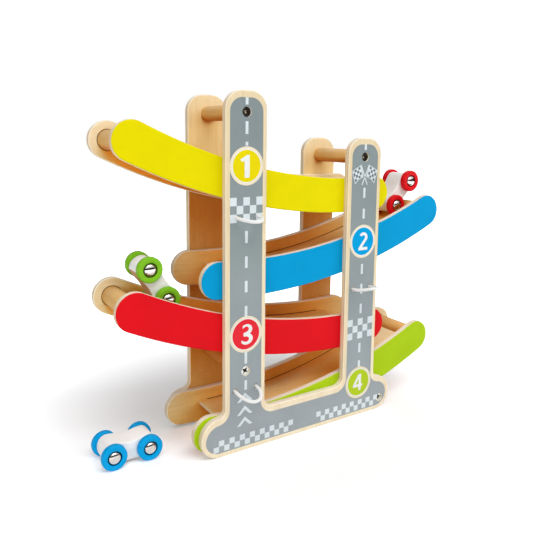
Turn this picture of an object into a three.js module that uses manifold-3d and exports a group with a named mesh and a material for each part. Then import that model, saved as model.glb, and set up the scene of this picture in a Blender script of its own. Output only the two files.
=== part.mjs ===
// A wooden click-clack racing track: two upright plywood panels hold four curved ramps, one above the other in a
// zig-zag, and three small cars run and flip from ramp to ramp. Millimetres, +Z up, the printed front faces -Y.

import * as THREE from 'three';
import { mergeVertices } from 'three/addons/utils/BufferGeometryUtils.js';
import Module from 'manifold-3d';

const wasm = await Module();
wasm.setup();

// Plywood and lane
const PANEL_THICKNESS = 6;
const WALL_THICKNESS = 6;
const LANE_WIDTH = 48;
const EDGE_ROUND = 1;

// Panel outline
const UPRIGHT_WIDTH = 37;
const UPRIGHT_SPACING = 120.5;
const LEFT_TOP_RISE = 85.3;
const RIGHT_TOP_RISE = 49.8;
const TOP_CORNER_RADIUS = 14.5;
const BASE_HEIGHT = 32.6;
const INNER_FILLET = 8;
const FOOT_RADIUS = 16.4;
const FOOT_REACH_LEFT = 21.3;
const FOOT_REACH_RIGHT = 19.6;
const SHOULDER_FILLET = 6.5;

// Ramps: curved bands with round ends
const RAMP_RADIUS = 469;
const WALL_HEIGHT = 30;
const RAMP_SPAN = 258;
const FLOOR_DEPTH = 11.2;
const FLOOR_THICKNESS = 3;
const FLOOR_SETBACK = 31;
const GROOVE_DEPTH = 2.5;
const END_DOWEL_DIAMETER = 16;
const END_DOWEL_LET_IN = 2.5;

// The ramps' middle lines at their lowest points: the first above the ground, the others each above the last.
const GREEN_RAMP_HEIGHT = 17.4;
const RED_RAMP_RISE = 64;
const BLUE_RAMP_RISE = 60.9;
const YELLOW_RAMP_RISE = 62.4;

// A lowest point's distance inwards from the near upright's middle, and the high tip's distance from it.
const LEFT_RAMP_REACH = 219.6;
const RIGHT_RAMP_REACH = 210.8;
const LEFT_RAMP_INSET = 4.8;
const BLUE_RAMP_INSET = 10.9;
const GREEN_RAMP_INSET = 3.7;

// Crossbars and their screws
const CROSSBAR_DIAMETER = 12.6;
const TOP_BAR_DROP = 16.2;
const LOW_LEFT_BAR_DROP = 13.4;
const FOOT_BAR_INSET = 11.6;
const FOOT_BAR_HEIGHT = 11;
const SCREW_HEAD_DIAMETER = 6.6;
const SCREW_HEAD_THICKNESS = 1.8;
const SCREW_SHANK_DIAMETER = 3.4;
const SCREW_BITE = 16;
const SCREW_RECESS = 1.2;
const SCREW_CROSS_WIDTH = 0.9;
const SCREW_CROSS_LENGTH = 3.6;
const SCREW_CROSS_DEPTH = 1.1;

// White ties through pairs of holes in the front panel
const TIE_DIAMETER = 2.8;
const TIE_HOLE_DIAMETER = 3.6;
const TIE_HOLE_SPACING = 20;
const UPPER_TIE_RISE = 51.2;
const MIDDLE_TIE_RISE = 39.6;
const LOWER_TIE_RISE = 35.6;
const UPPER_TIE_DROOP = 2.4;
const MIDDLE_TIE_DROOP = -2.2;
const LOWER_TIE_DROOP = 5.5;
// A loop's route: sideways from the middle of the two holes, into (+) or out of (-) the panel, share of the droop.
const TIE_ROUTE = [
  [-10, 5.2, 0], [-10, 2.6, 0], [-10, 0, 0], [-10, -3, 0.05], [-9.5, -6.2, 0.2], [-8, -9.2, 0.45],
  [-5.6, -11.8, 0.7], [-2.6, -13.5, 0.9], [0.8, -14.2, 1], [4.2, -13.6, 0.95], [7.1, -11.5, 0.75],
  [9.1, -8.6, 0.45], [10, -5.4, 0.2], [10, -2.5, 0.05], [10, 0, 0], [10, 2.6, 0], [10, 5.2, 0],
];

// Cars
const WHEELBASE = 29;
const WHEEL_DIAMETER = 20.5;
const WHEEL_THICKNESS = 5.1;
const WHEEL_EDGE_ROUND = 1;
const HUB_RECESS_DEPTH = 1.3;
const CAR_BODY_WIDTH = 19;
const CAR_BODY_HEIGHT = 18;
const CAR_END_REACH = 7;
const CAR_WAIST = 14.8;
const CAR_EDGE_ROUND = 0.8;
const PIN_DIAMETER = 3;
const PIN_HEAD_DIAMETER = 9.9;
const PIN_HEAD_HEIGHT = 2.6;
const PIN_BITE = 7;

// Where the cars' front axles are: the blue car stands beyond the left foot, and the green and red cars tip
// on their front wheels, at a distance from the high tips of their ramps.
const BLUE_CAR_FROM_FOOT = 61.1;
const BLUE_CAR_OFF_MIDDLE = 4;
const GREEN_CAR_FROM_TIP = 47.2;
const RED_CAR_FROM_TIP = 39.7;
const GREEN_CAR_TILT_DEGREES = 60;
const RED_CAR_TILT_DEGREES = 52.4;

// Clearances
const GLUE_GAP = 0.15;
const RUNNING_GAP = 0.3;
const WHEEL_SIDE_GAP = 0.4;
const STANDING_GAP = 0.3;

// Fineness of round stretches
const RAMP_STEPS = 14;
const DOWEL_SIDES = 24;
const SCREW_SIDES = 12;
const WHEEL_SIDES = 22;
const CAR_END_STEPS = 12;
const PIN_SIDES = 14;
const TIE_SIDES = 8;

// Colours
const BIRCH = 0xedcd9b;
const ROAD_GREY = 0x929c9e;
const STEEL = 0xb9b6ad;
const BLACK_STEEL = 0x2a2723;
const CHROME = 0xd9d9dc;
const WHITE = 0xf2f2f0;

// The ramps, from the bottom up; high is the side of the high end, -1 left and +1 right.
const greenZ = GREEN_RAMP_HEIGHT;
const redZ = greenZ + RED_RAMP_RISE;
const blueZ = redZ + BLUE_RAMP_RISE;
const yellowZ = blueZ + YELLOW_RAMP_RISE;
const rightLowX = UPRIGHT_SPACING - LEFT_RAMP_INSET;
const greenRamp = { name: 'green', lowX: GREEN_RAMP_INSET, lowZ: greenZ, high: 1, highReach: RIGHT_RAMP_REACH };
const redRamp = { name: 'red', lowX: rightLowX, lowZ: redZ, high: -1, highReach: LEFT_RAMP_REACH };
const blueRamp = { name: 'blue', lowX: BLUE_RAMP_INSET, lowZ: blueZ, high: 1, highReach: RIGHT_RAMP_REACH };
const yellowRamp = { name: 'yellow', lowX: rightLowX, lowZ: yellowZ, high: -1, highReach: LEFT_RAMP_REACH };
const rampPaint = { green: 0xaccd23, red: 0xe4141e, blue: 0x009dd9, yellow: 0xecde00 };

// Derived places
const wallReach = WALL_HEIGHT / 2;
const lowReach = (ramp) => RAMP_SPAN - ramp.highReach;
const frontWallY = PANEL_THICKNESS;
const laneFrontY = frontWallY + WALL_THICKNESS;
const laneBackY = laneFrontY + LANE_WIDTH;
const backPanelY = laneBackY + WALL_THICKNESS;
const laneMiddleY = (laneFrontY + laneBackY) / 2;
const wheelRadius = WHEEL_DIAMETER / 2;
const floorRadius = RAMP_RADIUS - wallReach + FLOOR_DEPTH;

function material(colour, roughness = 0.55, metalness = 0) {
  return new THREE.MeshStandardMaterial({ color: colour, roughness, metalness });
}

function named(name, geometry, surface) {
  const mesh = new THREE.Mesh(geometry, surface);
  mesh.name = name;
  return mesh;
}

// One closed body: shared vertices merged, flat triangles dropped, faces pointing out.
function closed(geometry) {
  geometry.deleteAttribute('normal');
  geometry.deleteAttribute('uv');
  const merged = mergeVertices(geometry, 1e-4);
  const place = merged.getAttribute('position');
  const corner = [new THREE.Vector3(), new THREE.Vector3(), new THREE.Vector3()];
  const triangles = [];
  let volume = 0;
  for (let i = 0; i < merged.index.count; i += 3) {
    const t = [0, 1, 2].map((k) => merged.index.getX(i + k));
    if (t[0] === t[1] || t[1] === t[2] || t[2] === t[0]) continue;
    t.forEach((vertex, k) => corner[k].fromBufferAttribute(place, vertex));
    volume += corner[0].dot(corner[1].clone().cross(corner[2]));
    triangles.push(t);
  }
  const outward = volume > 0 ? triangles : triangles.map(([a, b, c]) => [a, c, b]);
  merged.setIndex(outward.flat());
  return merged;
}

function solid(geometry) {
  const merged = closed(geometry);
  return new wasm.Manifold(new wasm.Mesh({
    numProp: 3,
    vertProperties: new Float32Array(merged.getAttribute('position').array),
    triVerts: new Uint32Array(merged.index.array),
  }));
}

function cut(geometry, tools) {
  let body = solid(geometry);
  for (const tool of tools) body = body.subtract(solid(tool));
  const mesh = body.getMesh();
  const result = new THREE.BufferGeometry();
  result.setAttribute('position', new THREE.BufferAttribute(new Float32Array(mesh.vertProperties), 3));
  result.setIndex(new THREE.BufferAttribute(new Uint32Array(mesh.triVerts), 1));
  return result;
}

// Adds the points of an arc to an outline; the way round follows from the two angles.
function arc(points, x, z, radius, from, to, steps) {
  for (let i = 0; i <= steps; i += 1) {
    const angle = from + ((to - from) * i) / steps;
    points.push(new THREE.Vector2(x + radius * Math.cos(angle), z + radius * Math.sin(angle)));
  }
}

// A shape without the points that arcs share where they meet.
function outlineOf(points) {
  const apart = points.filter((point, i) => point.distanceTo(points[(i + 1) % points.length]) > 1e-3);
  return new THREE.Shape(apart);
}

// A plate: an outline in X and Z, from y = 0 to y = thickness, with both faces' edges rounded over.
function plate(outline, thickness, round) {
  const geometry = new THREE.ExtrudeGeometry(outline, {
    depth: thickness - 2 * round,
    bevelEnabled: round > 0,
    bevelThickness: round,
    bevelSize: round,
    bevelOffset: -round,
    bevelSegments: 2,
  });
  geometry.translate(0, 0, round - thickness);
  geometry.rotateX(Math.PI / 2);
  return geometry;
}

// A round bar along Y.
function bar(diameter, fromY, toY, sides, x = 0, z = 0) {
  const geometry = new THREE.CylinderGeometry(diameter / 2, diameter / 2, toY - fromY, sides);
  geometry.translate(x, (fromY + toY) / 2, z);
  return geometry;
}

// A turned piece round the Y axis from [radius, y] points that start and end on the axis.
function turned(points, sides) {
  return new THREE.LatheGeometry(points.map(([r, y]) => new THREE.Vector2(r, y)), sides);
}

// Panels

const leftUpright = { x: 0, height: yellowZ + LEFT_TOP_RISE };
const rightUpright = { x: UPRIGHT_SPACING, height: yellowZ + RIGHT_TOP_RISE };
const halfUpright = UPRIGHT_WIDTH / 2;
const baseLeft = leftUpright.x - halfUpright - FOOT_REACH_LEFT;
const baseRight = rightUpright.x + halfUpright + FOOT_REACH_RIGHT;

// The fillet between a foot's round end and its upright: the lean from the vertical of the line through the two
// middles, and the fillet's height.
function shoulder(reach) {
  const span = FOOT_RADIUS + SHOULDER_FILLET;
  const lean = Math.asin((reach - span) / span);
  return { lean, z: FOOT_RADIUS + span * Math.cos(lean) };
}

function panelOutline() {
  const quarter = Math.PI / 2;
  const left = leftUpright;
  const right = rightUpright;
  const near = shoulder(FOOT_REACH_LEFT);
  const far = shoulder(FOOT_REACH_RIGHT);
  const nearX = left.x - halfUpright - SHOULDER_FILLET;
  const farX = right.x + halfUpright + SHOULDER_FILLET;
  const floor = BASE_HEIGHT + INNER_FILLET;
  const points = [];
  const top = ({ x, height }) => {
    const inset = halfUpright - TOP_CORNER_RADIUS;
    const z = height - TOP_CORNER_RADIUS;
    arc(points, x - inset, z, TOP_CORNER_RADIUS, 2 * quarter, quarter, 6);
    arc(points, x + inset, z, TOP_CORNER_RADIUS, quarter, 0, 6);
  };
  arc(points, baseLeft + FOOT_RADIUS, FOOT_RADIUS, FOOT_RADIUS, -quarter, -3 * quarter - near.lean, 12);
  arc(points, nearX, near.z, SHOULDER_FILLET, -quarter - near.lean, 0, 4);
  top(left);
  arc(points, left.x + halfUpright + INNER_FILLET, floor, INNER_FILLET, 2 * quarter, 3 * quarter, 5);
  arc(points, right.x - halfUpright - INNER_FILLET, floor, INNER_FILLET, 3 * quarter, 4 * quarter, 5);
  top(right);
  arc(points, farX, far.z, SHOULDER_FILLET, 2 * quarter, 3 * quarter + far.lean, 4);
  arc(points, baseRight - FOOT_RADIUS, FOOT_RADIUS, FOOT_RADIUS, quarter + far.lean, -quarter, 12);
  return outlineOf(points);
}

const crossbars = [
  { name: 'top_left_crossbar', x: leftUpright.x, z: leftUpright.height - TOP_BAR_DROP, screw: BLACK_STEEL },
  { name: 'top_right_crossbar', x: rightUpright.x, z: rightUpright.height - TOP_BAR_DROP, screw: BLACK_STEEL },
  { name: 'low_left_crossbar', x: leftUpright.x, z: redZ - LOW_LEFT_BAR_DROP, screw: STEEL },
  { name: 'low_right_crossbar', x: baseRight - FOOT_BAR_INSET, z: FOOT_BAR_HEIGHT, screw: STEEL },
];
const ties = [
  { name: 'upper_tie', x: leftUpright.x, z: blueZ + UPPER_TIE_RISE, droop: UPPER_TIE_DROOP },
  { name: 'middle_tie', x: rightUpright.x, z: redZ + MIDDLE_TIE_RISE, droop: MIDDLE_TIE_DROOP },
  { name: 'lower_tie', x: leftUpright.x, z: greenZ + LOWER_TIE_RISE, droop: LOWER_TIE_DROOP },
];
const screwSeat = SCREW_RECESS + SCREW_HEAD_THICKNESS;

// The screw holes of one panel whose outer face is at y = 0 and whose inner face is at y = PANEL_THICKNESS.
function screwHoles() {
  const reach = PANEL_THICKNESS + 1;
  return crossbars.flatMap(({ x, z }) => [
    bar(SCREW_HEAD_DIAMETER + 2 * RUNNING_GAP, -1, screwSeat, DOWEL_SIDES, x, z),
    bar(SCREW_SHANK_DIAMETER + 2 * GLUE_GAP, -1, reach, SCREW_SIDES, x, z),
  ]);
}

function tieHoles() {
  return ties.flatMap(({ x, z }) => [-1, 1].map((side) => (
    bar(TIE_HOLE_DIAMETER, -1, PANEL_THICKNESS + 1, SCREW_SIDES, x + (side * TIE_HOLE_SPACING) / 2, z))));
}

function panels() {
  const blank = () => plate(panelOutline(), PANEL_THICKNESS, EDGE_ROUND);
  const front = cut(blank(), [...screwHoles(), ...tieHoles()]);
  const backHoles = screwHoles().map((hole) => hole.rotateX(Math.PI).scale(1, 1, -1).translate(0, PANEL_THICKNESS, 0));
  const back = cut(blank(), backHoles);
  back.translate(0, backPanelY, 0);
  return [
    named('front_panel', front, material(ROAD_GREY)),
    named('back_panel', back, material(ROAD_GREY)),
  ];
}

// Ramps

// The point of a ramp's middle circle at a reach towards its high end, moved out by an offset from the circle.
function onRamp(ramp, reach, radius = RAMP_RADIUS) {
  const angle = Math.asin(reach / RAMP_RADIUS);
  return {
    angle,
    x: ramp.lowX + ramp.high * radius * Math.sin(angle),
    z: ramp.lowZ + RAMP_RADIUS - radius * Math.cos(angle),
  };
}

// A curved band between two angles towards the high end, with round or square ends.
function bandOutline(ramp, innerRadius, outerRadius, fromAngle, toAngle, roundEnds) {
  const down = -Math.PI / 2;
  const side = ramp.high;
  const x = ramp.lowX;
  const z = ramp.lowZ + RAMP_RADIUS;
  const middle = (innerRadius + outerRadius) / 2;
  const cap = (outerRadius - innerRadius) / 2;
  const from = down + side * fromAngle;
  const to = down + side * toAngle;
  const points = [];
  const roundEnd = (angle, start) => {
    arc(points, x + middle * Math.cos(angle), z + middle * Math.sin(angle), cap, start, start + side * Math.PI, 10);
  };
  arc(points, x, z, outerRadius, from, to, RAMP_STEPS);
  if (roundEnds) roundEnd(to, to);
  arc(points, x, z, innerRadius, to, from, RAMP_STEPS);
  if (roundEnds) roundEnd(from, from + Math.PI);
  return outlineOf(points);
}

function endDowelPlace(ramp) {
  return onRamp(ramp, ramp.highReach - wallReach);
}

// The floor runs from the end dowel to a set distance short of the low end.
function floorBand(ramp, gap) {
  const dowelHalfAngle = (END_DOWEL_DIAMETER / 2 + RUNNING_GAP) / floorRadius;
  const highAngle = endDowelPlace(ramp).angle - dowelHalfAngle + gap / floorRadius;
  const lowAngle = onRamp(ramp, FLOOR_SETBACK - lowReach(ramp)).angle - gap / floorRadius;
  const bottom = floorRadius + FLOOR_THICKNESS;
  return bandOutline(ramp, floorRadius - gap, bottom + gap, lowAngle, highAngle, false);
}

function rampPieces(ramp) {
  const highAngle = endDowelPlace(ramp).angle;
  const lowAngle = onRamp(ramp, wallReach - lowReach(ramp)).angle;
  const outline = bandOutline(ramp, RAMP_RADIUS - wallReach, RAMP_RADIUS + wallReach, lowAngle, highAngle, true);
  const dowel = endDowelPlace(ramp);
  const dowelHole = END_DOWEL_DIAMETER + 2 * GLUE_GAP;

  const wall = (innerFaceY, outerFaceY) => {
    const inward = Math.sign(innerFaceY - outerFaceY);
    const lowY = Math.min(innerFaceY, outerFaceY);
    const blank = plate(outline, WALL_THICKNESS, EDGE_ROUND);
    blank.translate(0, lowY, 0);
    const groove = plate(floorBand(ramp, GLUE_GAP), GROOVE_DEPTH + GLUE_GAP + 1, 0);
    const hole = [innerFaceY + inward, innerFaceY - inward * (END_DOWEL_LET_IN + GLUE_GAP)];
    groove.translate(0, inward > 0 ? innerFaceY - GROOVE_DEPTH - GLUE_GAP : innerFaceY - 1, 0);
    return cut(blank, [groove, bar(dowelHole, Math.min(...hole), Math.max(...hole), DOWEL_SIDES, dowel.x, dowel.z)]);
  };
  const floor = plate(floorBand(ramp, 0), LANE_WIDTH + 2 * GROOVE_DEPTH, 0);
  floor.translate(0, laneFrontY - GROOVE_DEPTH, 0);
  const endDowel = bar(END_DOWEL_DIAMETER, laneFrontY - END_DOWEL_LET_IN, laneBackY + END_DOWEL_LET_IN,
    DOWEL_SIDES, dowel.x, dowel.z);
  return [
    named(`${ramp.name}_front_wall`, wall(laneFrontY, frontWallY), material(rampPaint[ramp.name], 0.4)),
    named(`${ramp.name}_back_wall`, wall(laneBackY, backPanelY), material(rampPaint[ramp.name], 0.4)),
    named(`${ramp.name}_floor`, closed(floor), material(BIRCH)),
    named(`${ramp.name}_end_dowel`, closed(endDowel), material(BIRCH)),
  ];
}

// Crossbars and screws

function screwBody() {
  const head = SCREW_HEAD_DIAMETER / 2;
  const shank = SCREW_SHANK_DIAMETER / 2;
  const tip = PANEL_THICKNESS + SCREW_BITE - shank;
  const shape = turned([
    [0, SCREW_RECESS], [head * 0.75, SCREW_RECESS], [head, SCREW_RECESS + SCREW_HEAD_THICKNESS * 0.4],
    [head, screwSeat], [shank, screwSeat], [shank, tip], [0, tip + shank],
  ], SCREW_SIDES);
  const slot = (length, width) => {
    const box = new THREE.BoxGeometry(length, 2 * SCREW_CROSS_DEPTH, width);
    return box.translate(0, SCREW_RECESS, 0);
  };
  return cut(shape, [slot(SCREW_CROSS_LENGTH, SCREW_CROSS_WIDTH), slot(SCREW_CROSS_WIDTH, SCREW_CROSS_LENGTH)]);
}

function crossbarPieces({ name, x, z, screw }) {
  const outerBack = backPanelY + PANEL_THICKNESS;
  const bore = SCREW_SHANK_DIAMETER + 2 * GLUE_GAP;
  const depth = SCREW_BITE + 1;
  const wood = cut(bar(CROSSBAR_DIAMETER, PANEL_THICKNESS, backPanelY, DOWEL_SIDES), [
    bar(bore, PANEL_THICKNESS - 1, PANEL_THICKNESS + depth, SCREW_SIDES),
    bar(bore, backPanelY - depth, backPanelY + 1, SCREW_SIDES),
  ]);
  const dowel = named(name, wood, material(BIRCH));
  const front = named(`${name}_front_screw`, screwBody(), material(screw, 0.35, 0.9));
  const back = named(`${name}_back_screw`, screwBody(), material(screw, 0.35, 0.9));
  back.rotation.z = Math.PI;
  back.position.y = outerBack;
  const group = new THREE.Group();
  group.add(dowel, front, back);
  group.position.set(x, 0, z);
  return group;
}

// Ties

function tiePiece({ name, x, z, droop }) {
  const points = TIE_ROUTE.map(([across, depth, share]) => (
    new THREE.Vector3(x + across, depth, z - share * droop)));
  const section = new THREE.Shape();
  for (let i = 0; i < TIE_SIDES; i += 1) {
    const angle = (2 * Math.PI * i) / TIE_SIDES;
    const corner = [(TIE_DIAMETER / 2) * Math.cos(angle), (TIE_DIAMETER / 2) * Math.sin(angle)];
    if (i === 0) section.moveTo(...corner);
    else section.lineTo(...corner);
  }
  const tube = new THREE.ExtrudeGeometry(section, {
    steps: 2 * (points.length - 1),
    extrudePath: new THREE.CatmullRomCurve3(points),
  });
  return named(name, closed(tube), material(WHITE, 0.8));
}

// Cars: the front axle is at x = 0, the rear axle at x = -WHEELBASE, and the underside faces -Z.

const carSide = CAR_BODY_WIDTH / 2;
const wheelInnerY = carSide + WHEEL_SIDE_GAP;
const wheelOuterY = wheelInnerY + WHEEL_THICKNESS;
const hubFloorY = wheelOuterY - HUB_RECESS_DEPTH;
const axles = [
  { name: 'front', x: 0 },
  { name: 'rear', x: -WHEELBASE },
];
const sides = [
  { name: 'right', turn: Math.PI },
  { name: 'left', turn: 0 },
];

// Two oval ends joined by gentle hollows that leave a waist between the axles.
function carBodyOutline() {
  const half = CAR_BODY_HEIGHT / 2;
  const hollow = half - CAR_WAIST / 2;
  const points = [];
  for (const end of [0, 1]) {
    const facing = 1 - 2 * end;
    for (let i = 0; i <= CAR_END_STEPS; i += 1) {
      const angle = Math.PI * (i / CAR_END_STEPS - 0.5);
      const reach = facing * CAR_END_REACH * Math.cos(angle);
      points.push(new THREE.Vector2(reach - end * WHEELBASE, facing * half * Math.sin(angle)));
    }
    for (let i = 1; i < CAR_END_STEPS; i += 1) {
      const share = i / CAR_END_STEPS;
      const drop = (hollow * (1 - Math.cos(2 * Math.PI * share))) / 2;
      points.push(new THREE.Vector2(-WHEELBASE * (end + facing * share), facing * (half - drop)));
    }
  }
  return outlineOf(points);
}

function carBody() {
  const body = plate(carBodyOutline(), CAR_BODY_WIDTH, CAR_EDGE_ROUND);
  body.translate(0, -carSide, 0);
  const bore = PIN_DIAMETER + 2 * GLUE_GAP;
  const depth = PIN_BITE + 1;
  return cut(body, axles.flatMap(({ x }) => [
    bar(bore, -carSide - 1, depth - carSide, PIN_SIDES, x),
    bar(bore, carSide - depth, carSide + 1, PIN_SIDES, x),
  ]));
}

function wheelBody() {
  const bore = PIN_DIAMETER / 2 + RUNNING_GAP;
  const hub = PIN_HEAD_DIAMETER / 2 + RUNNING_GAP;
  const soft = WHEEL_EDGE_ROUND * (1 - Math.SQRT1_2);
  return closed(turned([
    [bore, wheelInnerY], [wheelRadius - WHEEL_EDGE_ROUND, wheelInnerY], [wheelRadius - soft, wheelInnerY + soft],
    [wheelRadius, wheelInnerY + WHEEL_EDGE_ROUND], [wheelRadius, wheelOuterY - WHEEL_EDGE_ROUND],
    [wheelRadius - soft, wheelOuterY - soft], [wheelRadius - WHEEL_EDGE_ROUND, wheelOuterY], [hub, wheelOuterY],
    [hub, hubFloorY], [bore, hubFloorY], [bore, wheelInnerY],
  ], WHEEL_SIDES));
}

function pinBody() {
  const shank = PIN_DIAMETER / 2;
  const head = PIN_HEAD_DIAMETER / 2;
  const seat = hubFloorY + RUNNING_GAP;
  const domeSteps = 4;
  const dome = [];
  for (let i = 0; i <= domeSteps; i += 1) {
    const angle = (Math.PI / 2) * (i / domeSteps);
    dome.push([i === domeSteps ? 0 : head * Math.cos(angle), seat + PIN_HEAD_HEIGHT * Math.sin(angle)]);
  }
  return closed(turned([[0, carSide - PIN_BITE], [shank, carSide - PIN_BITE], [shank, seat], ...dome], PIN_SIDES));
}

function car(name, colour) {
  const group = new THREE.Group();
  group.add(named(`${name}_body`, carBody(), material(WHITE, 0.4)));
  for (const axle of axles) {
    for (const side of sides) {
      const corner = new THREE.Group();
      corner.position.x = axle.x;
      corner.rotation.z = side.turn;
      corner.add(
        named(`${name}_${axle.name}_${side.name}_wheel`, wheelBody(), material(colour, 0.35)),
        named(`${name}_${axle.name}_${side.name}_pin`, pinBody(), material(CHROME, 0.15, 1)),
      );
      group.add(corner);
    }
  }
  return group;
}

// A car that stands on its front wheels on a ramp's floor, nose down, facing the ramp's low end.
function tippedCar(name, colour, ramp, fromTip, tiltDegrees) {
  const group = car(name, colour);
  const axleRadius = floorRadius - wheelRadius - STANDING_GAP;
  const offset = ramp.high * (ramp.highReach - fromTip);
  const z = ramp.lowZ + RAMP_RADIUS - Math.sqrt(axleRadius ** 2 - offset ** 2);
  const heading = new THREE.Group();
  heading.position.set(ramp.lowX + offset, laneMiddleY, z);
  heading.rotation.z = ramp.high < 0 ? 0 : Math.PI;
  group.rotation.y = THREE.MathUtils.degToRad(tiltDegrees);
  heading.add(group);
  return heading;
}

function standingCar(name, colour) {
  const group = car(name, colour);
  group.position.set(baseLeft - BLUE_CAR_FROM_FOOT, laneMiddleY + BLUE_CAR_OFF_MIDDLE, wheelRadius);
  group.rotation.z = Math.PI;
  return group;
}

// Assembly

const assembly = new THREE.Group();
assembly.add(...panels());
for (const ramp of [greenRamp, redRamp, blueRamp, yellowRamp]) assembly.add(...rampPieces(ramp));
for (const crossbar of crossbars) assembly.add(crossbarPieces(crossbar));

assembly.add(
  standingCar('blue_car', 0x00a0e9),
  tippedCar('green_car', 0x82be23, redRamp, GREEN_CAR_FROM_TIP, GREEN_CAR_TILT_DEGREES),
  tippedCar('red_car', 0xe1141e, blueRamp, RED_CAR_FROM_TIP, RED_CAR_TILT_DEGREES),
);

// The origin is the middle of the wooden set's footprint, on the surface that it stands on.
assembly.updateMatrixWorld(true);
const footprint = new THREE.Box3().setFromObject(assembly, true);
const middle = footprint.getCenter(new THREE.Vector3());
for (const tie of ties) assembly.add(tiePiece(tie));
assembly.position.set(-middle.x, -middle.y, -footprint.min.z);

const track = new THREE.Group();
track.add(assembly);
export default track;
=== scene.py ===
import math

import bmesh
import bpy
from mathutils import Matrix, Vector


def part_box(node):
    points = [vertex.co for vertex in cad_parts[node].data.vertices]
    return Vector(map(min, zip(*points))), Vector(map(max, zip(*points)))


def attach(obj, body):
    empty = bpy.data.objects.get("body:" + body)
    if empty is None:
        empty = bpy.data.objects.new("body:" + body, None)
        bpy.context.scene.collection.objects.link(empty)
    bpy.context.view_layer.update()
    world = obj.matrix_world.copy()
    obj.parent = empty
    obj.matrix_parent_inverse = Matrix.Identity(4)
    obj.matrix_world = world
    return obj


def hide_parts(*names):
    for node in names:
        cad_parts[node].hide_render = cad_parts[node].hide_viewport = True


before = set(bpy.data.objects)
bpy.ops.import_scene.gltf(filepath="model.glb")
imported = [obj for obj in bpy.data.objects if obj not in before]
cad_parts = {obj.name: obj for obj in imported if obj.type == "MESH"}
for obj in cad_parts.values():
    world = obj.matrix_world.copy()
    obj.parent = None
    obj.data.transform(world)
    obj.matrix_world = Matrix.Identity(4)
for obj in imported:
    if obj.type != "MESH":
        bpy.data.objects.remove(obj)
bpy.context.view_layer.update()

# The looks of a wooden click-clack racing track. Sizes are in millimetres, in a frame whose X = 0 is the tall
# upright's middle, whose Y = 0 is the printed front and whose Z = 0 is the ground. TO_FRAME turns them into
# metres in the part's own frame.
MM = 0.001

# Panels
PANEL_THICKNESS = 6.0
UPRIGHT_WIDTH = 37.0
UPRIGHT_SPACING = 120.5
LEFT_HEIGHT = 290.0
RIGHT_HEIGHT = 254.5
TOP_CORNER_RADIUS = 14.5
BASE_HEIGHT = 32.6
INNER_FILLET = 8.0
FOOT_RADIUS = 16.4
FOOT_REACH_LEFT = 21.3
FOOT_REACH_RIGHT = 19.6
SHOULDER_FILLET = 6.5
EDGE_ROUND = 1.0
SCREW_HOLE_RADIUS = 4.0
TIE_HOLE_RADIUS = 2.2

# Lane and ramps
WALL_THICKNESS = 6.0
LANE_WIDTH = 48.0
RAMP_RADIUS = 469.0
WALL_HEIGHT = 30.0
RAMP_SPAN = 257.8
FLOOR_DEPTH = 11.2
FLOOR_THICKNESS = 3.0
FLOOR_SETBACK = 31.0
GROOVE_DEPTH = 2.5
# Painted shadow: thin dark sheets lie in the creases where each floor meets its walls, and as rings where
# each end dowel goes into them.
CREASE_SHADOW_WIDTH = 0.75
SHADOW_OVERLAP = 0.1
SHADOW_SHEET = 0.04
CREASE_SHADOW_SETBACK = 38.5
END_DOWEL_DIAMETER = 16.0
END_DOWEL_GAP = 0.3
DOWEL_SHADOW_WIDTH = 0.6
DOWEL_EDGE = 0.3
FLOOR_EDGE_ROUND = 0.3
LEFT_RAMP_REACH = 219.5
RIGHT_RAMP_REACH = 210.7
# Each ramp's lowest point, the side of its high end (-1 left, 1 right) and how far that end is from there.
RAMPS = {
    "yellow": {"low": (115.7, 204.7), "high": -1, "reach": LEFT_RAMP_REACH},
    "blue": {"low": (10.9, 142.3), "high": 1, "reach": RIGHT_RAMP_REACH},
    "red": {"low": (115.7, 81.4), "high": -1, "reach": LEFT_RAMP_REACH},
    "green": {"low": (3.7, 17.4), "high": 1, "reach": RIGHT_RAMP_REACH},
}
WALL_PAINTS = {
    "yellow": (0.77, 0.67, 0.0),
    "blue": (0.0, 0.32, 0.64),
    "red": (0.73, 0.006, 0.012),
    "green": (0.41, 0.60, 0.009),
}
DISC_INKS = {
    "yellow": (0.79, 0.65, 0.002),
    "blue": (0.0, 0.34, 0.7),
    "red": (0.76, 0.026, 0.04),
    "green": (0.45, 0.59, 0.02),
}

# Ties: the middle of each pair of holes, and how far the loop droops
TIE_DIAMETER = 2.8
TIE_HOLE_SPACING = 20.0
TIES = {
    "upper_tie": {"x": 0.0, "z": 193.5, "droop": 2.4},
    "middle_tie": {"x": UPRIGHT_SPACING, "z": 121.0, "droop": -2.2},
    "lower_tie": {"x": 0.0, "z": 53.0, "droop": 5.5},
}
# A loop's route: sideways from the middle of the holes, into (+) or out of (-) the panel, share of the droop.
TIE_ROUTE = [
    (-10, 5.2, 0), (-10, 2.6, 0), (-10, 0, 0), (-10, -3, 0.05), (-9.5, -6.2, 0.2), (-8, -9.2, 0.45),
    (-5.6, -11.8, 0.7), (-2.6, -13.5, 0.9), (0.8, -14.1, 1), (4.2, -13.6, 0.95), (7.1, -11.5, 0.75),
    (9.1, -8.6, 0.45), (10, -5.4, 0.2), (10, -2.5, 0.05), (10, 0, 0), (10, 2.6, 0), (10, 5.2, 0),
]

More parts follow.
